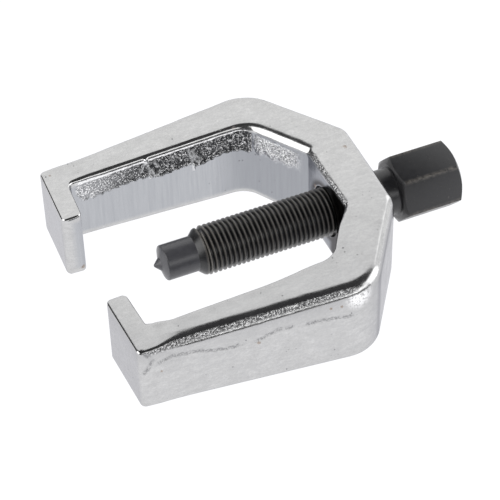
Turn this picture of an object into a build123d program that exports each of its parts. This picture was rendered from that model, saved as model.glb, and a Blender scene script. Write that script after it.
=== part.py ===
from build123d import *
import math
import os

# Ball joint separator: a forged C-shaped yoke and its forcing screw.
# While it is modelled, X runs along the screw from the jaw fronts (X = 0) to the hex head,
# Y runs across the arms and Z through the thickness, with the screw's axis at Y = Z = 0.

# Yoke, plan outline (millimetres)
lip_gap = 46.5
lip_end_thickness = 8.4
lip_root_thickness = 9.6
front_setback = 1.3
inner_width = 85.6
arm_front_thickness = 11.4
arm_shoulder_thickness = 18.9
throat_reach = 102.0
throat_corner_run = 16.2
shoulder_corner_run = 8.7
crown_thickness = 19.2
crown_inner_flat = 34.0
crown_outer_flat = 44.6

# Yoke, thickness and rounding
front_thickness = 29.6
crown_end_thickness = 40.0
shoulder_round = 18.0
inner_shoulder_round = 10.0
crown_outer_round = 8.0
crown_inner_round = 3.5
jaw_round = 2.0
lip_root_round = 3.0
edge_round = 2.2

# Forcing screw
thread_diameter = 19.8
thread_pitch = 2.0
thread_angle = 60.0
crest_share = 1 / 8
depth_share = 0.6134
first_crest = 0.5
nose_diameter = 14.4
nose_end_reach = 32.0
thread_start_reach = 47.6
end_cone_rise = 1.5
centre_cone_diameter = 6.0
centre_cone_length = 2.2
centre_cone_tip = 0.5
nose_edge_break = 0.4
neck_relief = 0.2
neck_gap = 4.0
neck_length = 5.8
hex_across_flats = 25.4
hex_length = 26.4
hex_chamfer = 30.0
hex_turn = 20.0

# Tapped hole and fits
thread_clearance = 0.2
countersink_depth = 1.2
ridge_sink = 0.08

# Worked-out sizes and places
front_width = inner_width + 2 * arm_front_thickness
shoulder_width = inner_width + 2 * arm_shoulder_thickness
inner_shoulder_reach = throat_reach - throat_corner_run
shoulder_reach = inner_shoulder_reach + shoulder_corner_run
crown_outer_reach = throat_reach + crown_thickness
crest_width = crest_share * thread_pitch
thread_depth = depth_share * thread_pitch
thread_end_reach = crown_outer_reach + neck_gap
neck_radius = thread_diameter / 2 - neck_relief
hex_start_reach = thread_end_reach + neck_length
hex_end_reach = hex_start_reach + hex_length
shoulder_start_reach = thread_start_reach - (thread_diameter - nose_diameter) / 2
hex_corner_radius = hex_across_flats / math.sqrt(3)

to_screw_axis = Rot(0, 90, 0)
to_frame = Location((-hex_end_reach / 2, 0, crown_end_thickness / 2))


def half_thickness(reach):
    """Half the yoke's thickness at a distance behind the jaw fronts."""
    share = reach / crown_outer_reach
    return (front_thickness + (crown_end_thickness - front_thickness) * share) / 2


def yoke_outline():
    """Plan view of the C: one half's corners with their rounding, then the mirrored half."""
    half = [
        (0, lip_gap / 2, jaw_round),
        (front_setback, front_width / 2, jaw_round),
        (shoulder_reach, shoulder_width / 2, shoulder_round),
        (crown_outer_reach, crown_outer_flat / 2, crown_outer_round),
    ]
    inner_half = [
        (throat_reach, crown_inner_flat / 2, crown_inner_round),
        (inner_shoulder_reach, inner_width / 2, inner_shoulder_round),
        (lip_root_thickness, inner_width / 2, lip_root_round),
        (lip_end_thickness, lip_gap / 2, jaw_round),
    ]
    outer = half + [(x, -y, r) for x, y, r in reversed(half)]
    inner = [(x, -y, r) for x, y, r in reversed(inner_half)] + inner_half
    corners = outer + inner
    points = [(x, y) for x, y, _ in corners]
    radii = [r for _, _, r in corners]
    return make_face(FilletPolyline(*points, radius=radii, close=True))


def side_profile():
    """Side view of the yoke: thin at the jaws and thick at the crown."""
    front = half_thickness(0)
    back = half_thickness(crown_outer_reach)
    corners = [(0, -front), (crown_outer_reach, -back), (crown_outer_reach, back), (0, front)]
    return Plane.XZ * make_face(Polyline(*corners, close=True))


def thread_ridge(crest_radius, first_turn, turns):
    """Helical ridge with 60 degree flanks along +Z, sunk a little into its core."""
    root_radius = crest_radius - thread_depth - ridge_sink
    flank_run = (crest_radius - root_radius) * math.tan(math.radians(thread_angle / 2))
    half_crest = crest_width / 2
    half_root = half_crest + flank_run
    length = turns * thread_pitch
    base = first_turn * thread_pitch

    def helix(radius, offset):
        return Edge.make_helix(thread_pitch, length, radius, center=(0, 0, base + offset))

    root_low = helix(root_radius, -half_root)
    crest_low = helix(crest_radius, -half_crest)
    crest_high = helix(crest_radius, half_crest)
    root_high = helix(root_radius, half_root)
    rails = [root_low, crest_low, crest_high, root_high]
    faces = [Face.make_surface_from_curves(rails[i - 1], rails[i]) for i in range(4)]
    for end in (0, 1):
        ring = [rail @ end for rail in rails]
        faces.append(Face(Wire.make_polygon(ring, close=True)))
    return Solid(Shell(faces))


def tap_through(body):
    """Cut the tapped hole through the crown: core, both countersinks and helical groove."""
    crest_radius = thread_diameter / 2 + thread_clearance
    core_radius = crest_radius - thread_depth
    core_length = crown_thickness + 2 * thread_pitch
    core = Pos(0, 0, throat_reach + crown_thickness / 2) * Cylinder(core_radius, core_length)
    mouth_radius = crest_radius + countersink_depth / 2
    mouth = Cone(mouth_radius, mouth_radius - countersink_depth, countersink_depth)
    inner_mouth = Pos(0, 0, throat_reach + countersink_depth / 2) * mouth
    outer_mouth = Pos(0, 0, crown_outer_reach - countersink_depth / 2) * Rot(180, 0, 0) * mouth
    first_turn = math.floor((throat_reach - thread_start_reach) / thread_pitch) - 1
    turns = math.ceil(crown_thickness / thread_pitch) + 2
    groove = Pos(0, 0, thread_start_reach) * thread_ridge(crest_radius, first_turn + first_crest, turns)
    for cutter in (core, inner_mouth, outer_mouth, groove):
        body -= to_screw_axis * cutter
    return body


def yoke():
    """One forging: arms, inward lips, shoulders and the tapped crown."""
    blank = extrude(yoke_outline(), amount=crown_end_thickness / 2, both=True)
    wedge = extrude(side_profile(), amount=shoulder_width, both=True)
    body = blank & wedge
    top = body.faces().sort_by(Axis.Z)[-1]
    bottom = body.faces().sort_by(Axis.Z)[0]
    body = fillet(top.edges() + bottom.edges(), edge_round)
    return tap_through(body)


def screw_nose():
    """Plain turned nose with a shallow cone on its end and a small centre cone."""
    radius = nose_diameter / 2
    cone_radius = centre_cone_diameter / 2
    cone_base = nose_end_reach - end_cone_rise
    cone_tip = cone_base - centre_cone_length
    section = [
        (cone_tip, 0),
        (cone_tip, centre_cone_tip),
        (cone_base, cone_radius),
        (nose_end_reach, radius - nose_edge_break),
        (nose_end_reach + nose_edge_break, radius),
        (shoulder_start_reach, radius),
        (shoulder_start_reach, 0),
    ]
    return revolve(make_face(Polyline(*section, close=True)), Axis.X)


def hex_head():
    """Long hex head, its corners turned off at both ends."""
    hexagon = RegularPolygon(hex_corner_radius, 6, rotation=hex_turn)
    prism = Pos(0, 0, hex_start_reach) * extrude(hexagon, hex_length)
    flat_radius = hex_across_flats / 2
    corner_drop = (hex_corner_radius - flat_radius) * math.tan(math.radians(hex_chamfer))
    section = [
        (0, hex_start_reach),
        (flat_radius, hex_start_reach),
        (hex_corner_radius, hex_start_reach + corner_drop),
        (hex_corner_radius, hex_end_reach - corner_drop),
        (flat_radius, hex_end_reach),
        (0, hex_end_reach),
    ]
    envelope = revolve(Plane.XZ * make_face(Polyline(*section, close=True)), Axis.Z)
    return prism & envelope


def forcing_screw():
    """Conical shoulder, threaded shank, plain neck and hex head in one piece."""
    crest_radius = thread_diameter / 2
    core_radius = crest_radius - thread_depth
    section = [
        (0, shoulder_start_reach),
        (nose_diameter / 2, shoulder_start_reach),
        (core_radius, thread_start_reach - (crest_radius - core_radius)),
        (core_radius, thread_end_reach - (neck_radius - core_radius)),
        (neck_radius, thread_end_reach),
        (neck_radius, hex_start_reach),
        (0, hex_start_reach),
    ]
    core = revolve(Plane.XZ * make_face(Polyline(*section, close=True)), Axis.Z)
    turns = math.floor((thread_end_reach - thread_start_reach) / thread_pitch) - 1
    ridge = Pos(0, 0, thread_start_reach) * thread_ridge(crest_radius, first_crest, turns)
    return to_screw_axis * (core + ridge + hex_head())


if __name__ == "__main__":
    os.makedirs("parts", exist_ok=True)
    pieces = {"yoke": yoke(), "screw_nose": screw_nose(), "forcing_screw": forcing_screw()}
    for name, piece in pieces.items():
        export_step(to_frame * piece, f"parts/{name}.step")
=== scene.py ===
import math

import bpy
from mathutils import Matrix, Vector


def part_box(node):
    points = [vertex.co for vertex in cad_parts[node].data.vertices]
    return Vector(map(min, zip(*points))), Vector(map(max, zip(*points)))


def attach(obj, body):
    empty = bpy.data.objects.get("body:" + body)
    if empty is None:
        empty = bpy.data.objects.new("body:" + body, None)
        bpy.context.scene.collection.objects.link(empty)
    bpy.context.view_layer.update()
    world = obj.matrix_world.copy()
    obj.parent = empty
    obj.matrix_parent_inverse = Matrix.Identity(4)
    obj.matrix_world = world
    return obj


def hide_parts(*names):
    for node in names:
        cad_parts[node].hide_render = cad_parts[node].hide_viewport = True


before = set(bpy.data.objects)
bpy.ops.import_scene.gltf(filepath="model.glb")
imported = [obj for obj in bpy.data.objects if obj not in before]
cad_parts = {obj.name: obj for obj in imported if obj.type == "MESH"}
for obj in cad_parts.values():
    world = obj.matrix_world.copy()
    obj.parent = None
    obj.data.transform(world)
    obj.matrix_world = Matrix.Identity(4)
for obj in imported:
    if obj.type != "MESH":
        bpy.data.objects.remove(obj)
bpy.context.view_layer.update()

MM = 0.001

# ---------------------------------------------------------------- sizes, millimetres
# X is counted from the jaws' front edges along the screw, Y and Z from the screw's axis.
yoke_low, yoke_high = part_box("yoke")
CROWN_BACK = 121.2
JAW_FRONT = yoke_high[0] / MM - CROWN_BACK
AXIS_Z = (yoke_low[2] + yoke_high[2]) / 2 / MM

LIP_GAP = 46.5
INNER_WIDTH = 85.6
FRONT_THICKNESS, CROWN_THICKNESS = 29.6, 40.0
CROWN_INNER = 102.0
# Corners of an arm's two outlines from crown to lip: reach, side, rounding radius
INNER_RAIL = [(CROWN_INNER, 17.0, 3.5), (85.8, INNER_WIDTH / 2, 10.0), (9.6, INNER_WIDTH / 2, 3.0)]
OUTER_RAIL = [(CROWN_BACK, 22.3, 8.0), (94.5, 61.7, 18.0), (1.3, 54.2, 2.2)]
CROWN_MIDDLE = ((CROWN_INNER, 0.0), (CROWN_BACK, 0.0))
LIP_END = ((8.4, LIP_GAP / 2), (0.0, LIP_GAP / 2))
# Stations of the sweep in each rounded corner, and in each straight between them
CORNER_STEPS = (8, 14, 10)
STRAIGHT_STEPS = (14, 26, 76, 5)
# Rows added up the walls, across the flat sides and along the lips
WALL_ROWS, FLAT_ROWS, LIP_ROWS = 31, 11, 3
# Rim rounding: broad and soft on the near arm, tighter on the far one, crisp at the jaws
NEAR_OUTER_RIM, FAR_OUTER_RIM = 5.2, 2.4
NEAR_INNER_RIM, CROWN_INNER_RIM, SLANT_INNER_RIM, FAR_INNER_RIM = 1.0, 2.4, 4.4, 2.0
JAW_RIM, JAW_CORNER_RIM, LOWER_RIM = 1.1, 2.8, 2.2
JAW_REACH = 11

# Metric thread: 60 degree flanks, 0.6134 of the pitch deep, its first crest half a pitch in
THREAD_RADIUS, THREAD_PITCH = 9.9, 2.0
THREAD_DEPTH = 0.6134 * THREAD_PITCH
FLANK = math.radians(30)
THREAD_START, THREAD_END = 47.6, 125.2
FIRST_CREST = 0.5
THREAD_STEPS = 48
TAP_CLEARANCE, TAP_MOUTH, TAP_MOUTH_DEPTH = 0.15, 0.8, 0.8
CONE_TIP, CONE_BASE, NOSE_END = 28.3, 30.9, 32.0
CONE_TIP_RADIUS, CONE_BASE_RADIUS = 0.35, 3.1
NOSE_RADIUS = 7.2
SHOULDER_START = THREAD_START - 2.7
NECK_RADIUS = 9.7
HEX_START, HEX_LENGTH, HEX_ACROSS_FLATS = 131.0, 26.4, 25.4
HEX_TURN, HEX_CHAMFER = math.radians(20), math.radians(30)
# How far inside the flats the turned-off corners meet the end face, and the edge break
HEX_FACE_INSET, HEX_EDGE_BREAK = 1.0, 0.35


def place(x, y=0.0, z=0.0):
    """A point given from the jaw fronts and the screw's axis, in the frame's metres."""
    return Vector(((x + JAW_FRONT) * MM, y * MM, (z + AXIS_Z) * MM))


def ramp(value, start, end):
    """A smooth step from 0 at start to 1 at end."""
    share = min(max((value - start) / (end - start), 0.0), 1.0)
    return share * share * (3 - 2 * share)


def band(value, rise, fall):
    """1 between two edges, with a smooth step over each: (start, end) pairs."""
    return ramp(value, *rise) * (1 - ramp(value, *fall))


def blend(first, second, share):
    return first + (second - first) * share


# ---------------------------------------------------------------- modelling by hand
def take(piece):
    """Make one piece the only selected and active object."""
    bpy.ops.object.select_all(action="DESELECT")
    piece.select_set(True)
    bpy.context.view_layer.objects.active = piece


def settle(name):
    """Name the new primitive and put its place into its mesh."""
    piece = bpy.context.object
    take(piece)
    bpy.ops.object.transform_apply(location=True, rotation=True, scale=True)
    piece.name = name
    piece.data.name = name
    return piece


def pick(piece, kind, wanted):
    """In edit mode, select exactly the vertices, edges or faces that the test accepts."""
    take(piece)
    bpy.ops.object.mode_set(mode="EDIT")
    bpy.ops.mesh.select_mode(type={"vertices": "VERT", "edges": "EDGE", "polygons": "FACE"}[kind])
    bpy.ops.mesh.select_all(action="DESELECT")
    bpy.ops.object.mode_set(mode="OBJECT")
    for item in getattr(piece.data, kind):
        item.select = bool(wanted(item))
    bpy.ops.object.mode_set(mode="EDIT")


def pick_all(piece):
    pick(piece, "polygons", lambda face: True)


def leave_edit():
    bpy.ops.object.mode_set(mode="OBJECT")


def add_modifier(piece, kind, **settings):
    """Give a piece a modifier and apply it at once."""
    modifier = piece.modifiers.new(kind.lower(), kind)
    for key, value in settings.items():
        setattr(modifier, key, value)
    take(piece)
    bpy.ops.object.modifier_apply(modifier=modifier.name)


def cut(piece, cutter, operation="DIFFERENCE"):
    add_modifier(piece, "BOOLEAN", operation=operation, solver="EXACT", object=cutter)
    bpy.data.objects.remove(cutter)


def clean(piece):
    """Merge doubles and turn every face outwards."""
    pick_all(piece)
    bpy.ops.mesh.remove_doubles(threshold=0.0005 * MM)
    bpy.ops.mesh.normals_make_consistent(inside=False)
    leave_edit()


def smooth(piece, degrees):
    take(piece)
    bpy.ops.object.shade_smooth_by_angle(angle=math.radians(degrees))


def turned(name, profile, around=96):
    """A turned solid: a disc pulled along the screw's axis and scaled at each step."""
    x, radius = profile[0]
    bpy.ops.mesh.primitive_circle_add(
        vertices=around, radius=radius * MM, fill_type="NGON",
        location=place(x), rotation=(0, math.pi / 2, 0))
    piece = settle(name)
    pick_all(piece)
    for next_x, next_radius in profile[1:]:
        bpy.ops.mesh.extrude_region_move(
            TRANSFORM_OT_translate={"value": ((next_x - x) * MM, 0, 0)})
        share = next_radius / radius
        bpy.ops.transform.resize(value=(1, share, share), center_override=place(next_x))
        x, radius = next_x, next_radius
    leave_edit()
    clean(piece)
    return piece


# ---------------------------------------------------------------- yoke
def straight(start, end, steps):
    return [start.lerp(end, k / steps) for k in range(1, steps + 1)]


def rounded_rail(start, corners, end):
    """Points along one outline of an arm: straights and rounded corners, from crown to lip."""
    nodes = [start] + [corner[:2] for corner in corners] + [end]
    points = [Vector(start)]
    for i, (x, y, radius) in enumerate(corners, start=1):
        corner = Vector((x, y))
        back = (Vector(nodes[i - 1]) - corner).normalized()
        ahead = (Vector(nodes[i + 1]) - corner).normalized()
        half_angle = back.angle(ahead) / 2
        run = radius / math.tan(half_angle)
        centre = corner + (back + ahead).normalized() * radius / math.sin(half_angle)
        first, last = corner + back * run - centre, corner + ahead * run - centre
        spread = first.angle_signed(last)
        points += straight(points[-1], centre + first, STRAIGHT_STEPS[i - 1])
        for k in range(1, CORNER_STEPS[i - 1] + 1):
            angle = -spread * k / CORNER_STEPS[i - 1]
            points.append(centre + Matrix.Rotation(angle, 2) @ first)
    return points + straight(points[-1], Vector(end), STRAIGHT_STEPS[-1])


inner_rail = rounded_rail(CROWN_MIDDLE[0], INNER_RAIL, LIP_END[0])
outer_rail = rounded_rail(CROWN_MIDDLE[1], OUTER_RAIL, LIP_END[1])


def from_rail(rail, x, y):
    """How far a spot of either arm lies from an outline, seen from above."""
    spot = Vector((x, abs(y)))
    return min((spot - point).length for point in rail)


def half_thickness(x):
    return blend(FRONT_THICKNESS, CROWN_THICKNESS, x / CROWN_BACK) / 2


def swept_arm():
    """Half the forging: one section pulled from the crown round the shoulder into the lip."""
    slope = (CROWN_THICKNESS - FRONT_THICKNESS) / CROWN_BACK
    thickness = FRONT_THICKNESS - slope * JAW_FRONT
    across = outer_rail[0] - inner_rail[0]
    middle = (outer_rail[0] + inner_rail[0]) / 2
    pivot = place(middle.x, middle.y, -AXIS_Z)
    bpy.ops.mesh.primitive_plane_add(size=1, location=pivot, rotation=(math.pi / 2, 0, 0))
    piece = settle("forged_yoke")
    pick_all(piece)
    bpy.ops.transform.resize(
        value=(across.length * MM, 1, thickness * MM), center_override=pivot)
    for inner, outer in zip(inner_rail[1:], outer_rail[1:]):
        next_across, next_middle = outer - inner, (outer + inner) / 2
        step = (next_middle - middle) * MM
        bpy.ops.mesh.extrude_region_move(TRANSFORM_OT_translate={"value": (step.x, step.y, 0)})
        pivot = place(next_middle.x, next_middle.y, -AXIS_Z)
        turn = across.angle_signed(next_across)
        bpy.ops.transform.rotate(value=turn, orient_axis="Z", center_override=pivot)
        share = next_across.length / across.length
        bpy.ops.transform.resize(value=(share, share, 1), center_override=pivot)
        across, middle = next_across, next_middle
    leave_edit()
    pick(piece, "polygons", lambda face: abs(face.center.y) < 0.01 * MM)
    bpy.ops.mesh.delete(type="FACE")
    leave_edit()
    return piece, slope / thickness


def rim_size(spot, upright):
    """Rounding radius of the rim at a spot of the yoke, in millimetres."""
    x, y = spot.x / MM - JAW_FRONT, spot.y / MM
    if x < JAW_REACH:
        return JAW_CORNER_RIM if upright else JAW_RIM
    if from_rail(outer_rail, x, y) < from_rail(inner_rail, x, y):
        size = blend(NEAR_OUTER_RIM, FAR_OUTER_RIM, ramp(y, -40, 20))
    elif y < -10:
        size = blend(NEAR_INNER_RIM, CROWN_INNER_RIM, ramp(x, 92, CROWN_INNER))
    elif y < 17.5:
        size = blend(CROWN_INNER_RIM, SLANT_INNER_RIM, ramp(y, 12.5, 17.5))
    else:
        size = blend(SLANT_INNER_RIM, FAR_INNER_RIM, ramp(y, 36, 42.6))
    if spot.z < AXIS_Z * MM:
        size = min(size, LOWER_RIM)
    return blend(JAW_RIM, size, ramp(x, 9, 16))


def round_rims(piece):
    """Weigh every long rim and the lips' ends by its own rounding, and round them at once."""
    take(piece)
    bpy.ops.object.mode_set(mode="EDIT")
    bpy.ops.mesh.select_mode(type="EDGE")
    bpy.ops.mesh.select_all(action="DESELECT")
    bpy.ops.mesh.edges_select_sharp(sharpness=math.radians(50))
    leave_edit()
    sizes = {}
    for edge in piece.data.edges:
        if edge.select:
            a, b = (piece.data.vertices[i].co for i in edge.vertices)
            upright = abs(a.z - b.z) > 10 * MM
            sizes[edge.index] = round(rim_size((a + b) / 2, upright), 1)
    for size in sorted(set(sizes.values())):
        pick(piece, "edges", lambda edge: sizes.get(edge.index) == size)
        bpy.ops.transform.edge_bevelweight(value=size / NEAR_OUTER_RIM)
        leave_edit()
    # Without overlap clamping, because the short lip stations would shrink every rim
    add_modifier(piece, "BEVEL", width=NEAR_OUTER_RIM * MM, segments=8, limit_method="WEIGHT",
                 offset_type="OFFSET", use_clamp_overlap=False)


def refine_walls(piece):
    """Add rows up the walls and along the flat sides, so that the surface can be worked."""
    def length_and_lift(edge):
        a, b = (piece.data.vertices[i].co for i in edge.vertices)
        return (a - b).length / MM, abs(a.z - b.z) / MM

    def upright(edge):
        length, lift = length_and_lift(edge)
        return length > 14 and lift > 0.9 * length

    def flat_across(edge):
        length, lift = length_and_lift(edge)
        return length > 4.2 and lift < 0.2 * length and not along_lip(edge)

    def along_lip(edge):
        a, b = (piece.data.vertices[i].co / MM for i in edge.vertices)
        reach, side, up = (abs(value) for value in a - b)
        middle = (a + b) / 2
        on_lip = middle.x - JAW_FRONT < 12 and LIP_GAP / 2 < abs(middle.y) < 52
        return on_lip and side > 1.6 and reach < 0.4 * side and up < 0.2 * side

    for wanted, rows in ((upright, WALL_ROWS), (flat_across, FLAT_ROWS), (along_lip, LIP_ROWS)):
        pick(piece, "edges", wanted)
        bpy.ops.mesh.subdivide(number_cuts=rows)
        leave_edit()


def tap_hole(piece):
    """The tapped hole through the crown, countersunk at both mouths."""
    bore, mouth = THREAD_RADIUS + TAP_CLEARANCE, THREAD_RADIUS + TAP_MOUTH
    cut(piece, turned("tap", [
        (CROWN_INNER - 1, mouth), (CROWN_INNER, mouth), (CROWN_INNER + TAP_MOUTH_DEPTH, bore),
        (CROWN_BACK - TAP_MOUTH_DEPTH, bore), (CROWN_BACK, mouth), (CROWN_BACK + 1, mouth)]))


def make_yoke():
    """Drop-forged C with two inward lips, thicker toward the crown, with a tapped hole."""
    piece, taper = swept_arm()
    add_modifier(piece, "MIRROR", use_axis=(False, True, False), use_clip=True)
    clean(piece)
    add_modifier(piece, "SIMPLE_DEFORM", deform_method="TAPER", deform_axis="X", lock_y=True,
                 factor=taper * CROWN_BACK)
    pick_all(piece)
    bpy.ops.transform.translate(value=(0, 0, AXIS_Z * MM))
    leave_edit()
    round_rims(piece)
    refine_walls(piece)
    clean(piece)
    tap_hole(piece)
    work_surface(piece)
    smooth(piece, 40)
    return piece


# ---------------------------------------------------------------- yoke surface, millimetres
MASKS = ("skin", "hammered_glints", "laps", "peened_dark_glints", "wander", "inner", "painted_dark_reflection", "painted_highlight", "slope",
         "ridges", "hooks", "rust")
# Lower edge of the unground casting skin on the far arm's inner wall, as (reach, height).
SKIN_EDGE = [(12, 8), (15, 3.9), (20, 3.8), (27, 5.0), (33, 5.8), (40, 6.5), (44, 5.8), (48, 4.3),
             (55, 5.2), (61, 5.9), (66, 3.7), (72, 5.6), (77, 6.6), (83, 5.8), (88, 5.0)]
SKIN_END = 87.6
# Marks drawn on the walls, as (reach, height)
CLAW_RIDGES = [[(42.6, 15), (43.8, 10), (44.2, 5)], [(40.2, 8.5), (42.6, 13.5)],
               [(45.2, 12.5), (46.6, 12), (47.4, 9.5)],
               [(61.2, 13.4), (62.4, 8), (63.0, 2.4)], [(62.8, 12), (64.2, 9), (65.6, 7.5)]]
CLAW_HOOKS = [[(44.9, 8.8), (45.6, 6), (47.2, 4.9), (48.6, 6.2)],
              [(63.0, 10), (63.9, 6.6), (65.2, 5.2), (66.4, 6.0)]]
LAP_LINE = [[(9, 7.6), (14, 9.4), (17, 9.0), (24, 8.4), (29, 6.8), (35, 5.6), (39, 5.8)],
            [(46.6, 5.4), (51, 7.0), (56, 8.6)], [(58.5, 7.9), (60.5, 8.2)],
            [(66.5, 7.3), (74, 6.9), (84, 5.4)], [(3.2, 14.2), (5.2, 12.2)], [(5, 7), (6.5, 9.4)],
            [(3, 4), (5, 6.4)]]
# Rust spots: reach, side, height, radius
RUST_SPOTS = [(115.9, 11.7, 19.8, 1.5), (118.4, 18.6, 19.8, 1.1), (4.7, 50.2, 15, 0.9),
              (14.5, -55.3, 15.6, 1.6), (9.7, -54.9, 2.9, 0.9), (75.8, -60.2, 12.1, 1.1),
              (80.1, -60.5, 11.6, 1.0), (47.4, -57.9, 4.1, 1.3), (6.8, 23.2, -12.4, 1.7),
              (4.6, 23.2, -12.9, 1.5), (101.8, 9.4, 5.8, 1.8), (81.2, 42.6, 18.6, 2.2)]
# Where the painted highlight on the near shoulder's turn is brightest, and the weight under which
# a zone is left out
HIGHLIGHT_TURN = (87.5, -60.5, 13.8)
LEAST_WEIGHT = 0.004


def height_on(line, x):
    """Height of a drawn line at a reach."""
    for (x0, z0), (x1, z1) in zip(line, line[1:]):
        if x0 <= x <= x1:
            return z0 + (z1 - z0) * (x - x0) / (x1 - x0)
    return line[0][1] if x < line[0][0] else line[-1][1]


def from_lines(lines, x, z):
    """Distance of a spot on a wall from the nearest of some drawn lines."""
    best = 99.0
    spot = Vector((x, z))
    for line in lines:
        for start, end in zip(line, line[1:]):
            a, b = Vector(start), Vector(end)
            share = min(max((spot - a).dot(b - a) / (b - a).length_squared, 0.0), 1.0)
            best = min(best, (spot - a.lerp(b, share)).length)
    return best


def ragged(x, z):
    """A small wander that keeps the worked zones from having ruled edges."""
    return 0.5 * math.sin(1.7 * x + 0.6 * z) + 0.3 * math.sin(4.1 * x - 2.3 * z + 1.0)


def spot_of(point):
    return point.x / MM - JAW_FRONT, point.y / MM, point.z / MM - AXIS_Z


def on_inside(x, y):
    """Whether a spot belongs to the walls inside the C, by the nearer outline."""
    return from_rail(inner_rail, x, y) <= from_rail(outer_rail, x, y)


def skin(x, y, z, inside):
    """The rough, unground casting skin along the top of the far arm's inner wall."""
    if y < 36 or not inside or x > 90:
        return 0.0
    low = height_on(SKIN_EDGE, x) + 0.7 * ragged(x, z)
    high = half_thickness(x) - 3.1 + 0.3 * ragged(z, x)
    roughness = 0.35 + 0.65 * ramp(x, 16, 42)
    return roughness * band(x, (11.5, 13.5), (SKIN_END - 0.8, SKIN_END + 0.1)) * band(
        z, (low - 0.4, low + 0.4), (high - 0.5, high + 0.6))


def hammered_glints(x, y, z, inside):
    """Pitted zone on the slanted wall between the far shoulder and the crown. Its white flecks are
    painted glints.
    """
    if y < 12 or not inside or x < 86:
        return 0.0
    low = 4.5 + 1.2 * ragged(x, z)
    return band(x, (87.5, 89), (97, 101)) * band(z, (low, low + 4), (13.5, 15.5))


def laps(x, y, z, inside):
    """Fine broken lap line and short gouges along the near arm's outer wall."""
    if y > -53 or inside or x > 90:
        return 0.0
    return 1 - ramp(from_lines(LAP_LINE, x, z + 0.35 * ragged(x, 0)), 0.2, 1.3)


def painted_dark_reflection(x, y, z, inside):
    """Painted dark reflection: the crown's inner face coloured brown-black around the tapped hole
    and on its near side, standing in for the black screw and the shade reflected there.
    """
    around_hole = band(math.hypot(y, z), (10.75, 11.2), (11.8, 14.5))
    near_side = 1 - ramp(y, -7, -3)
    below_rim = ramp(half_thickness(x) - z, 2.4, 3.4)
    return inside * ramp(x, 99.5, 101.5) * max(around_hole, near_side) * below_rim


def painted_highlight(x, y, z, inside):
    """Painted highlights: white spots on the lip above the casting skin and on the near shoulder's
    turn.
    """
    drop = half_thickness(x) - z
    if inside:
        return (y > 36) * band(drop, (1.1, 1.5), (2.6, 3.3)) * band(x, (12, 14), (85, 88))
    from_turn = math.dist((x, y, z), HIGHLIGHT_TURN)
    return (1 - ramp(from_turn, 2.0, 7.5)) * ramp(drop, 1.6, 2.6)


def slope_shade(x, y, z, inside):
    """Painted shade: the near slanted wall behind the shoulder, coloured darker."""
    if inside or y > -20:
        return 0.0
    return ramp(x, 96, 99.5) * ramp(half_thickness(x) - z, 2.5, 5)


def swollen(x, y, z, inside):
    """The near arm's inner side, fuller at the lip's root and toward the crown."""
    if y > -16 or x < 7:
        return 0.0
    root = 0.8 * band(x, (8.5, 11), (12, 20)) * ramp(-y, 30, 40)
    shoulder = band(x, (56, 82), (94, 101))
    return max(root, shoulder) * (1 - ramp(from_rail(inner_rail, x, y), 3, 13))


def claws(lines, width):
    """Short marks on the far arm's inner wall, drawn with a line of the given half width."""
    def weight(x, y, z, inside):
        if y < 40 or not inside:
            return 0.0
        return 1 - ramp(from_lines(lines, x, z), 0.2, width)
    return weight


def rust(x, y, z, inside):
    """Pinhead rust spots."""
    spots = (math.dist((x, y, z), spot[:3]) / spot[3] for spot in RUST_SPOTS)
    return 1 - ramp(min(spots), 0.3, 1.0)


def rim_wander(x, y, z, inside):
    """The rounded rims, where the forging's edge line wanders a little."""
    top = half_thickness(x)
    from_edge = from_rail(inner_rail + outer_rail, x, y)
    return ramp(z, top - 9, top - 2.5) * ramp(x, 8, 14) * (1 - ramp(from_edge, 3.5, 6.5))


def peened_dark_glints(x, y, z, inside):
    """Battered, pitted rims: the near arm's outer one and the crown's inner one. Their colour is a
    painted dark reflection with painted white glints.
    """
    drop = half_thickness(x) - z
    if inside:
        return (x > 100) * band(drop, (0.1, 0.4), (1.6, 2.4)) * (1 - ramp(y, 13, 16))
    return (y < -40) * band(drop, (0.3, 0.7), (1.3, 2.9)) * band(x, (3, 6), (82, 90))


def inner_walls_shade(x, y, z, inside):
    """Walls inside the C, coloured a darker blue-grey than the outside as painted shade."""
    return inside * ramp(half_thickness(x) - abs(z), 2.0, 3.5)


def all_over(x, y, z, inside):
    """Everywhere but round the tapped hole."""
    clear = THREAD_RADIUS + 1.5
    return ramp(math.hypot(y, z), clear, clear + 3) if x > 99 else 1.0


def in_worked_zone(face):
    """Faces of the far inner wall and the near outer wall that need a finer mesh."""
    x, y, z = spot_of(face.center)
    on_far_wall = y > 12 and 10 < x < 104 and z > 0 and on_inside(x, y)
    on_near_wall = y < -50 and 2 < x < 92 and z > 1
    return (on_far_wall or on_near_wall) and abs(face.normal.z) < 0.75 and (
        face.area < 4 * MM * MM)


def displace(piece, group, strength, grain=None, depth=2, middle=0.5, direction="NORMAL"):
    """Raise the surface by a weight group, evenly or by a noise, in millimetres. A middle of 1
    only lowers it, which keeps it inside the design's box."""
    settings = {"strength": strength * MM, "vertex_group": group, "mid_level": 0.0,
                "direction": direction}
    if grain:
        noise = bpy.data.textures.new(group, "CLOUDS")
        noise.noise_scale = grain * MM
        noise.noise_depth = depth
        settings.update(texture=noise, texture_coords="LOCAL", mid_level=middle)
    add_modifier(piece, "DISPLACE", **settings)


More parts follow.
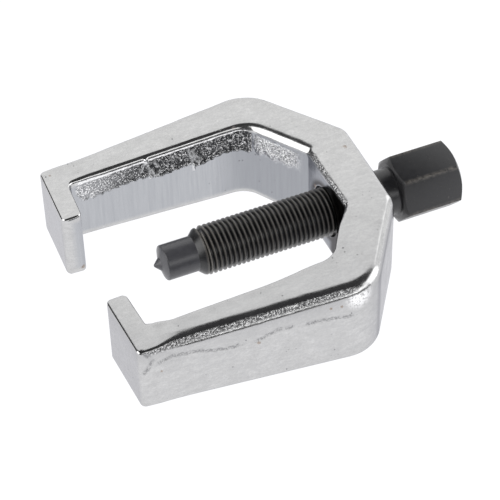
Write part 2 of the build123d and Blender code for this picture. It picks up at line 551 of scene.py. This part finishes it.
def work_surface(piece):
    """Casting skin, claw marks, hammering, laps and the slow waves of a hand-ground forging."""
    pick(piece, "polygons", in_worked_zone)
    bpy.ops.mesh.subdivide(number_cuts=1)
    leave_edit()
    spots = []
    for vertex in piece.data.vertices:
        x, y, z = spot_of(vertex.co)
        spots.append((x, y, z, abs(vertex.normal.z) < 0.98 and on_inside(x, y)))

    zones = {
        "waves": all_over, "skin": skin, "hammered_glints": hammered_glints, "laps": laps,
        "wander": rim_wander, "peened_dark_glints": peened_dark_glints, "inner": inner_walls_shade, "painted_dark_reflection": painted_dark_reflection,
        "painted_highlight": painted_highlight, "slope": slope_shade, "swollen": swollen,
        "ridges": claws(CLAW_RIDGES, 0.9), "hooks": claws(CLAW_HOOKS, 1.0), "rust": rust}
    for name, weigh in zones.items():
        weights = [float(weigh(*spot)) for spot in spots]
        group = piece.vertex_groups.new(name=name)
        for index, weight in enumerate(weights):
            if weight > LEAST_WEIGHT:
                group.add([index], weight, "REPLACE")
        if name in MASKS:
            layer = piece.data.attributes.new(name + "_mask", "FLOAT", "POINT")
            layer.data.foreach_set("value", weights)
    displace(piece, "swollen", 1.7, direction="Y")
    displace(piece, "waves", 0.06, grain=13, middle=1.0)
    displace(piece, "wander", 0.2, grain=6, middle=1.0)
    displace(piece, "peened_dark_glints", 0.15, grain=1.6, depth=1, middle=1.0)
    displace(piece, "skin", -0.9)
    displace(piece, "skin", 2.0, grain=1.7, depth=3)
    displace(piece, "hammered_glints", 1.8, grain=2.0)
    displace(piece, "laps", -0.12)
    displace(piece, "ridges", 0.9)
    displace(piece, "hooks", 1.0)


# ---------------------------------------------------------------- screw
def make_nose():
    """Plain turned nose: shallow cone on its end, small centre cone, conical shoulder."""
    piece = turned("nose", [
        (CONE_TIP, CONE_TIP_RADIUS), (CONE_TIP + 0.15, 0.6),
        (CONE_BASE - 0.1, CONE_BASE_RADIUS - 0.3), (CONE_BASE, CONE_BASE_RADIUS),
        (NOSE_END - 0.05, NOSE_RADIUS - 0.55), (NOSE_END + 0.15, NOSE_RADIUS - 0.2),
        (NOSE_END + 0.55, NOSE_RADIUS), (SHOULDER_START, NOSE_RADIUS)])
    smooth(piece, 16)
    return piece


def thread_ridge():
    """One closed helical ridge with 60 degree flanks, a little sunk into its core."""
    root = THREAD_RADIUS - THREAD_DEPTH - 0.1
    crest_half = THREAD_PITCH / 16
    root_half = crest_half + (THREAD_RADIUS - root) * math.tan(FLANK)
    middle = (0, 0, (root + THREAD_RADIUS) / 2 * MM)
    turns = math.floor((THREAD_END - THREAD_START) / THREAD_PITCH) - 1
    bpy.ops.mesh.primitive_plane_add(size=1, location=middle, rotation=(math.pi / 2, 0, 0))
    piece = settle("ridge")
    pick_all(piece)
    bpy.ops.transform.resize(
        value=(2 * root_half * MM, 1, (THREAD_RADIUS - root) * MM), center_override=middle)
    leave_edit()
    pick(piece, "edges", lambda edge: all(
        piece.data.vertices[i].co.z > (THREAD_RADIUS - 0.01) * MM for i in edge.vertices))
    bpy.ops.transform.resize(value=(crest_half / root_half, 1, 1), center_override=(0, 0, 0))
    leave_edit()
    add_modifier(piece, "SCREW", axis="X", angle=2 * math.pi, steps=THREAD_STEPS,
                 render_steps=THREAD_STEPS, screw_offset=THREAD_PITCH * MM, iterations=turns,
                 use_merge_vertices=False)
    clean(piece)
    pick(piece, "edges", lambda edge: False)
    bpy.ops.mesh.select_non_manifold()
    bpy.ops.mesh.edge_face_add()
    bpy.ops.mesh.select_all(action="SELECT")
    bpy.ops.mesh.normals_make_consistent(inside=False)
    bpy.ops.transform.translate(value=place(THREAD_START + FIRST_CREST * THREAD_PITCH))
    leave_edit()
    return piece


def make_hex():
    """Long hex head: a six-sided prism with its corners turned off at both ends."""
    corner, face = HEX_ACROSS_FLATS / math.sqrt(3), HEX_ACROSS_FLATS / 2 - HEX_FACE_INSET
    end = HEX_START + HEX_LENGTH
    bpy.ops.mesh.primitive_cylinder_add(
        vertices=6, radius=corner * MM, depth=HEX_LENGTH * MM,
        location=place(HEX_START + HEX_LENGTH / 2), rotation=(0, math.pi / 2, 0))
    piece = settle("hex")
    pick_all(piece)
    bpy.ops.transform.rotate(
        value=HEX_TURN - math.radians(30), orient_axis="X", center_override=place(0))
    leave_edit()
    drop = (corner - face) * math.tan(HEX_CHAMFER)
    cut(piece, turned("envelope", [
        (HEX_START, face), (HEX_START + drop, corner), (end - drop, corner), (end, face)]),
        "INTERSECT")
    add_modifier(piece, "BEVEL", width=HEX_EDGE_BREAK * MM, segments=2, limit_method="ANGLE",
                 angle_limit=math.radians(25))
    return piece


def make_screw():
    """Turned shank with its thread ridge and hex head: lead-in, core, run-out, neck, fillet."""
    core = THREAD_RADIUS - THREAD_DEPTH
    shank = turned("turned_screw", [
        (SHOULDER_START, NOSE_RADIUS), (THREAD_START - 0.4, THREAD_RADIUS - 0.6),
        (THREAD_START + 0.3, THREAD_RADIUS - 0.35), (THREAD_START + 1.1, core),
        (THREAD_END - THREAD_DEPTH, core), (THREAD_END - 0.2, NECK_RADIUS - 0.2),
        (THREAD_END, NECK_RADIUS), (HEX_START - 0.9, NECK_RADIUS),
        (HEX_START - 0.3, NECK_RADIUS + 0.25), (HEX_START + 0.01, NECK_RADIUS + 0.8),
        (HEX_START + 1, NECK_RADIUS + 0.8)])
    cut(shank, thread_ridge(), "UNION")
    cut(shank, make_hex(), "UNION")
    smooth(shank, 25)
    return shank


yoke = make_yoke()
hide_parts("yoke")
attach(yoke, "yoke")
nose = make_nose()
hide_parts("screw_nose")
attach(nose, "nose")
screw = make_screw()
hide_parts("forcing_screw")
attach(screw, "screw")


# ---------------------------------------------------------------- finishes
def linear(colour):
    """An sRGB hex value as linear red, green, blue and alpha."""
    parts = [int(colour[i:i + 2], 16) / 255 for i in (1, 3, 5)]
    return tuple(c / 12.92 if c <= 0.04045 else ((c + 0.055) / 1.055) ** 2.4 for c in parts) + (1,)


def connect(tree, node, inputs):
    """Set each input of a node, or link it where its value is another node's output."""
    for key, value in dict(inputs).items():
        socket = node.inputs[key]
        if isinstance(value, bpy.types.NodeSocket):
            tree.links.new(value, socket)
        else:
            socket.default_value = value


def add(tree, kind, inputs=(), output=0, **settings):
    """Add a node, set its properties, set or link its inputs, and hand back one output."""
    node = tree.nodes.new(kind)
    for key, value in settings.items():
        setattr(node, key, value)
    connect(tree, node, inputs)
    return node.outputs[output]


def new_material(name):
    material = bpy.data.materials.new(name)
    material.use_nodes = True
    tree = material.node_tree
    return material, tree, tree.nodes["Principled BSDF"]


def chrome_plate():
    """Decorative chrome over a hand-ground forging: bright and softly clouded outside, a darker
    blue-grey inside as painted shade, gritty where the casting skin was left, pinhead rust where
    it is thin. Painted highlights, glints, shade and a dark reflection round the hole are laid
    into its colour."""
    material, tree, shader = new_material("chrome_plate")
    # Patterns are drawn in millimetres. Grinding grain is stretched to 13 mm along the arms,
    # mottle to 5 mm, and the brush strokes of the inner walls to 18 mm up them.
    point = add(tree, "ShaderNodeMapping", {
        "Vector": add(tree, "ShaderNodeTexCoord", output="Object"), "Scale": (1000, 1000, 1000)})
    along = add(tree, "ShaderNodeMapping", {"Vector": point, "Scale": (0.14, 1.0, 0.8)})
    streaky = add(tree, "ShaderNodeMapping", {"Vector": point, "Scale": (0.4, 1.0, 1.0)})
    upright = add(tree, "ShaderNodeMapping", {"Vector": point, "Scale": (1.0, 1.0, 0.06)})
    reach, side, height = (add(tree, "ShaderNodeSeparateXYZ", {0: point}, axis) for axis in "XYZ")
    mask = {name: add(tree, "ShaderNodeAttribute", output="Fac", attribute_name=name + "_mask")
            for name in MASKS}

    # Width in millimetres, detail, roughness and distortion of each pattern. Real plating grit
    # is under 0.1 mm and would not show, so grit and fleck are drawn at 1 and 0.67 mm.
    patterns = {
        "clouds": (point, 9.09, 5, 0.6, 0.0),
        "grain": (along, 1.818, 4, 0.6, 0.8),
        "mottle": (streaky, 2.0, 5, 0.8, 0.5),
        "brush": (upright, 1.111, 3, 0.6, 0.0),
        "grit": (point, 1.0, 3, 0.7, 0.0),
        "fleck": (point, 0.66667, 2, 0.6, 0.0)}
    noise = {name: add(tree, "ShaderNodeTexNoise", {
        "Vector": vector, "Scale": 1 / width, "Detail": detail, "Roughness": roughness,
        "Distortion": distortion})
        for name, (vector, width, detail, roughness, distortion) in patterns.items()}
    pits = add(tree, "ShaderNodeTexVoronoi", {
        "Vector": point, "Scale": 1 / 2.5, "Randomness": 1.0}, "Distance")

    # Each row takes a pattern or a place between two thresholds to a share from start to end
    fades = {
        "pit_mouth": (pits, 0.05, 0.16, 1.0, 0.0),
        "pit_field": (noise["clouds"], 0.55, 0.62, 0.0, 1.0),
        "plate": (noise["mottle"], 0.36, 0.64, 0.0, 1.0),
        "grain": (noise["grain"], 0.3, 0.7, 0.0, 0.4),
        "clouds": (noise["clouds"], 0.35, 0.65, 0.0, 0.35),
        "grit": (noise["grit"], 0.35, 0.65, 0.0, 0.35),
        "near_side": (side, 10, -60, 0.0, 1.0),
        "top": (height, 26, 34, 0.0, 1.0),
        "brushed": (noise["brush"], 0.2, 0.8, 0.0, 1.0),
        "inner_shade_toward_crown": (reach, JAW_FRONT + 70, JAW_FRONT + 84, 0.0, 0.55),
        "broken": (noise["grit"], 0.40, 0.50, 0.0, 1.0),
        "sparkle": (noise["fleck"], 0.48, 0.58, 0.0, 1.0),
        "glint_flecks": (noise["fleck"], 0.40, 0.52, 0.0, 1.0),
        "lap_breaks": (noise["fleck"], 0.42, 0.54, 0.1, 0.7),
        "skin_shade_toward_crown": (reach, JAW_FRONT + 22, JAW_FRONT + 44, 0.0, 1.0),
        "skin_glints": (noise["fleck"], 0.52, 0.58, 0.0, 1.0),
        "skin_edge": (mask["skin"], 0.05, 0.3, 0.0, 1.0),
        "gloss": (noise["clouds"], 0.3, 0.7, 0.12, 0.2),
        "cast_dull": (noise["fleck"], 0.5, 0.6, 0.25, 0.0)}
    fade = {name: add(tree, "ShaderNodeMapRange", {
        "Value": value, "From Min": low, "From Max": high, "To Min": start, "To Max": end})
        for name, (value, low, high, start, end) in fades.items()}

    # Where each finish, painted highlight and painted shade shows, and how strongly
    products = {
        "pit": (fade["pit_mouth"], fade["pit_field"]),
        "near_top_shade": (fade["near_side"], fade["top"]),
        "painted_highlight": (mask["painted_highlight"], fade["broken"]),
        "peened_dark_glints": (mask["peened_dark_glints"], 0.7),
        "hammered_glints": (mask["hammered_glints"], 0.9),
        "laps": (mask["laps"], fade["lap_breaks"]),
        "painted_dark_reflection": (mask["painted_dark_reflection"], 0.92),
        "rust": (mask["rust"], noise["grit"]),
        "skin_dull": (mask["skin"], fade["cast_dull"]),
        "rim_dull": (mask["wander"], 0.04),
        "skin_height": (mask["skin"], 0.8),
        "hammered_height": (mask["hammered_glints"], 0.5),
        "brush_height": (noise["brush"], mask["inner"])}
    share = {name: add(tree, "ShaderNodeMath", {0: first, 1: second}, operation="MULTIPLY")
             for name, (first, second) in products.items()}
    near_top_shade = add(tree, "ShaderNodeMath", {0: share["near_top_shade"], 1: 0.5}, operation="MULTIPLY")
    claw = add(tree, "ShaderNodeMath", {0: mask["ridges"], 1: mask["hooks"]}, operation="MAXIMUM")
    rusty = add(tree, "ShaderNodeMapRange", {
        "Value": share["rust"], "From Min": 0.15, "From Max": 0.5, "To Min": 0.0, "To Max": 0.6})
    metal = add(tree, "ShaderNodeMapRange", {
        "Value": rusty, "From Min": 0.0, "From Max": 0.6, "To Min": 1.0, "To Max": 0.35})
    rough = add(tree, "ShaderNodeMath", {0: fade["gloss"], 1: share["rim_dull"]}, operation="ADD")
    rough = add(tree, "ShaderNodeMath", {0: rough, 1: share["skin_dull"]}, operation="ADD")

    # Two-tone grounds: worn plate, brushed inner walls in painted shade, peened rim as a painted
    # dark reflection with painted white glints, pitted wall with painted white glints, casting
    # skin in painted shade toward the crown
    grounds = {
        "plate": (fade["plate"], "#c2c2c2", "#d8d8d7"),
        "inner": (fade["brushed"], "#aeb0b4", "#bcbec1"),
        # Painted dark reflection with painted white glints on the peened rims
        "peened_dark_glints": (fade["sparkle"], "#2e2e31", "#ffffff"),
        # Painted glints: white flecks over grey on the pitted wall
        "hammered_glints": (fade["glint_flecks"], "#a4a5a7", "#ffffff"),
        # Painted shade: the casting skin coloured darker toward the crown
        "skin": (fade["skin_shade_toward_crown"], "#a4a5a7", "#57585a")}
    ground = {name: add(tree, "ShaderNodeMix", {
        "Factor": factor, 6: linear(first), 7: linear(second)}, 2, data_type="RGBA")
        for name, (factor, first, second) in grounds.items()}
    # Then each layer over the ones before it
    layers = [
        # Painted shade: the inner walls darker still toward the crown
        ("inner", fade["inner_shade_toward_crown"], linear("#8c8f94")),
        # Painted glints: white flecks on the casting skin
        ("skin", fade["skin_glints"], linear("#ffffff")),
        ("plate", fade["grain"], linear("#cecece")),
        ("plate", fade["clouds"], linear("#bebebd")),
        ("plate", fade["grit"], linear("#b0b0b0")),
        # Painted shade: the upper part of the yoke darker toward the near side
        ("plate", near_top_shade, linear("#b0b0b1")),
        # Painted shade: the walls inside the C in a darker blue-grey
        ("plate", mask["inner"], "inner"),
        # Painted shade: the near slanted wall darker
        ("plate", mask["slope"], linear("#8e8e90")),
        # Painted highlight: white along the far lip above the casting skin and on the near
        # shoulder's turn
        ("plate", share["painted_highlight"], linear("#ffffff")),
        ("plate", share["peened_dark_glints"], "peened_dark_glints"),
        ("plate", share["hammered_glints"], "hammered_glints"),
        ("plate", share["pit"], linear("#77777a")),
        ("plate", share["laps"], linear("#727274")),
        ("plate", fade["skin_edge"], "skin"),
        ("plate", claw, linear("#d9dadb")),
        # Painted dark reflection and shade of the screw on the crown around the tapped hole
        ("plate", share["painted_dark_reflection"], linear("#3b3733")),
        ("plate", rusty, linear("#93765c"))]
    for name, factor, colour in layers:
        ground[name] = add(tree, "ShaderNodeMix", {
            "Factor": factor, 6: ground[name], 7: ground.get(colour, colour)},
            2, data_type="RGBA")

    pit_height = add(tree, "ShaderNodeMath", {0: share["pit"], 1: -1.0}, operation="MULTIPLY")
    battered = add(tree, "ShaderNodeMath", {
        0: share["skin_height"], 1: share["hammered_height"]}, operation="MAXIMUM")
    battered = add(tree, "ShaderNodeMath", {0: noise["grit"], 1: battered}, operation="MULTIPLY")
    # Centred on zero, so that the battered rim ends without a step
    rim_grit = add(tree, "ShaderNodeMath", {0: noise["grit"], 1: 0.5}, operation="SUBTRACT")
    rim_grit = add(tree, "ShaderNodeMath", {0: rim_grit, 1: mask["peened_dark_glints"]}, operation="MULTIPLY")
    # Heights drawn over each other, with their depths in millimetres
    surface = {}
    for raised, depth in ((noise["grain"], 0.02), (share["brush_height"], 0.015),
                          (pit_height, 0.1), (battered, 1.6), (rim_grit, 0.6)):
        surface["Normal"] = add(tree, "ShaderNodeBump", {
            "Height": raised, "Strength": 1.0, "Distance": depth * MM, **surface})
    connect(tree, shader, {
        "Base Color": ground["plate"], "Metallic": metal, "Roughness": rough,
        "Specular Tint": linear("#dcdcdf"), **surface})
    return material


def black_oxide(name, dark, light, tool_marks):
    """Hot black oxide on turned steel: charcoal, low sheen, paler on the thread's crests, where a
    highlight is painted and the first turns are worn, and where the hex corners rub; the nose
    keeps fine rings from the turning tool."""
    material, tree, shader = new_material(name)
    # Millimetres, measured from the screw's axis
    point = add(tree, "ShaderNodeMapping", {
        "Vector": add(tree, "ShaderNodeTexCoord", output="Object"),
        "Location": (0, 0, -AXIS_Z), "Scale": (1000, 1000, 1000)})
    reach, side, lift = (add(tree, "ShaderNodeSeparateXYZ", {0: point}, axis) for axis in "XYZ")
    flat = add(tree, "ShaderNodeCombineXYZ", {1: side, 2: lift})
    radius = add(tree, "ShaderNodeVectorMath", {0: flat}, "Value", operation="LENGTH")
    # Blotches of the salt bath 2 mm wide, and dust and scratches 0.6 mm wide
    blotches = add(tree, "ShaderNodeTexNoise", {
        "Vector": point, "Scale": 1 / 2.0, "Detail": 6, "Roughness": 0.7})
    specks = add(tree, "ShaderNodeTexNoise", {"Vector": point, "Scale": 1 / 0.625, "Detail": 2})

    # Each row takes a pattern or a place between two thresholds to a share from start to end
    thread_from, thread_to = JAW_FRONT + THREAD_START, JAW_FRONT + THREAD_END
    fades = {
        "before_neck": (reach, thread_to + 0.2, thread_to, 0.0, 1.0),
        "crest": (radius, THREAD_RADIUS - 0.7, THREAD_RADIUS - 0.05, 0.0, 1.0),
        "first_turns": (reach, thread_from + 9, thread_from, 0.0, 0.5),
        "hex_corner": (radius, 14.0, 14.6, 0.0, 1.0),
        "worn": (blotches, 0.36, 0.7, 0.0, 1.0),
        "dust": (specks, 0.70, 0.74, 0.0, 0.4),
        "rough": (blotches, 0.3, 0.7, 0.27, 0.38)}
    fade = {key: add(tree, "ShaderNodeMapRange", {
        "Value": value, "From Min": low, "From Max": high, "To Min": start, "To Max": end})
        for key, (value, low, high, start, end) in fades.items()}

    # Shares worked out in turn: what each is made from, and how
    share = dict(fade)
    for key, first, second, operation in (
            ("thread", radius, THREAD_RADIUS + 0.5, "LESS_THAN"),
            ("thread", "thread", "before_neck", "MULTIPLY"),
            ("corner", "hex_corner", "worn", "MULTIPLY"),
            ("crests", "thread", "crest", "MULTIPLY"),
            ("crests", "crests", "first_turns", "MULTIPLY"),
            ("rub", "corner", "crests", "MAXIMUM"),
            ("rub", "rub", "dust", "MAXIMUM")):
        share[key] = add(tree, "ShaderNodeMath", {
            0: share.get(first, first), 1: share.get(second, second)}, operation=operation)

    tone = add(tree, "ShaderNodeMix", {
        "Factor": blotches, 6: linear(dark), 7: linear(light)}, 2, data_type="RGBA")
    if not tool_marks:
        # Painted highlight: the crests light against dark roots all along the thread
        thread = add(tree, "ShaderNodeMix", {
            "Factor": fade["crest"], 6: linear("#19191b"), 7: linear("#686561")},
            2, data_type="RGBA")
        tone = add(tree, "ShaderNodeMix", {
            "Factor": share["thread"], 6: tone, 7: thread}, 2, data_type="RGBA")
    tone = add(tree, "ShaderNodeMix", {
        "Factor": share["rub"], 6: tone, 7: linear("#7d7871")}, 2, data_type="RGBA")

    surface = add(tree, "ShaderNodeBump", {
        "Height": blotches, "Strength": 0.3, "Distance": 0.1 * MM})
    if tool_marks:
        # Rings of the turning tool, 0.56 mm apart
        rings = add(tree, "ShaderNodeTexNoise", {
            "Vector": add(tree, "ShaderNodeCombineXYZ", {0: reach}), "Scale": 1 / 0.55556,
            "Detail": 3})
        surface = add(tree, "ShaderNodeBump", {
            "Height": rings, "Strength": 0.7, "Distance": 0.14 * MM, "Normal": surface})
    connect(tree, shader, {
        "Base Color": tone, "Roughness": fade["rough"], "IOR": 1.6, "Normal": surface})
    return material


def finish_piece(piece, material):
    piece.data.materials.clear()
    piece.data.materials.append(material)


finish_piece(yoke, chrome_plate())
# Painted light: the nose's black oxide is given a lighter tone than the screw's, standing in for
# light falling on it
finish_piece(nose, black_oxide("black_oxide_turned", "#3f3f43", "#535357", True))
finish_piece(screw, black_oxide("black_oxide", "#1b1b1d", "#2d2d30", False))


# ---------------------------------------------------------------- stage, metres
# Area lights: name, azimuth and elevation seen from the object, distance, width, height,
# brightness
SOFTBOXES = [
    ("back_sweep", 68, 25, 1.2, 2.3, 1.6, 1.05),
    ("right_sweep", 8, 16, 1.25, 1.2, 0.9, 0.9),
    ("left_box", 182, 32, 1.0, 0.9, 1.0, 2.5),
    ("front_strip", -72, 27, 1.0, 1.1, 0.34, 1.8),
    ("right_box", -17, 24, 1.0, 0.7, 0.75, 2.2)]
TABLE_SIZE, TABLE_DROP = 6, 0.0002
# Linear light: what the table reflects and gives off, and the dim room
TABLE_TONE, TABLE_GLOW = (0.08, 0.08, 0.08, 1), (1.0, 1.0, 1.02, 1)
ROOM_GLOW = (0.05, 0.05, 0.052, 1)
# Azimuth, elevation and roll in degrees, aim in millimetres from the jaws, lens in millimetres
CAMERA_ANGLES = (-22.66, 44.39, -1.50)
CAMERA_AIM, CAMERA_DISTANCE, CAMERA_LENS = (65.8, -7.5, 0), 0.7809, 143.5


def softbox(name, azimuth, elevation, distance, width, height, radiance):
    """A rectangular light that faces the object, degrees round from +X and up from the table."""
    azimuth, elevation = math.radians(azimuth), math.radians(elevation)
    toward = Vector((math.cos(azimuth) * math.cos(elevation),
                     math.sin(azimuth) * math.cos(elevation), math.sin(elevation)))
    light = bpy.data.lights.new(name, "AREA")
    light.shape = "RECTANGLE"
    light.size, light.size_y = width, height
    light.energy = radiance * math.pi * width * height
    lamp = bpy.data.objects.new(name, light)
    bpy.context.collection.objects.link(lamp)
    lamp.location = toward.normalized() * distance
    lamp.rotation_euler = lamp.location.to_track_quat("Z", "Y").to_euler()


def studio():
    """A lit white table and soft boxes round it."""
    bpy.ops.mesh.primitive_plane_add(size=TABLE_SIZE, location=(0, 0, -TABLE_DROP))
    floor = bpy.context.object
    floor.name = "floor"
    paper, tree, shader = new_material("lit_white_table")
    connect(tree, shader, {
        "Base Color": TABLE_TONE, "Roughness": 0.9, "Specular IOR Level": 0.0,
        "Emission Color": TABLE_GLOW, "Emission Strength": 1.0})
    finish_piece(floor, paper)
    world = bpy.data.worlds.new("studio")
    bpy.context.scene.world = world
    world.use_nodes = True
    world.node_tree.nodes["Background"].inputs["Color"].default_value = ROOM_GLOW
    for settings in SOFTBOXES:
        softbox(*settings)


def camera():
    """A long lens, looking down along the open jaws from the near side."""
    azimuth, elevation, roll = (math.radians(angle) for angle in CAMERA_ANGLES)
    back = Vector((math.sin(azimuth) * math.cos(elevation),
                   -math.cos(azimuth) * math.cos(elevation), math.sin(elevation)))
    level = Vector((math.cos(azimuth), math.sin(azimuth), 0))
    upright = back.cross(level)
    right = math.cos(roll) * level + math.sin(roll) * upright
    up = back.cross(right)
    lens = bpy.data.cameras.new("camera")
    lens.lens = CAMERA_LENS
    lens.clip_start = 0.01
    view = bpy.data.objects.new("camera", lens)
    bpy.context.collection.objects.link(view)
    turn = Matrix((right, up, back)).transposed().to_4x4()
    view.matrix_world = Matrix.Translation(place(*CAMERA_AIM) + CAMERA_DISTANCE * back) @ turn
    bpy.context.scene.camera = view


studio()
camera()
bpy.context.scene.view_settings.view_transform = "Standard"
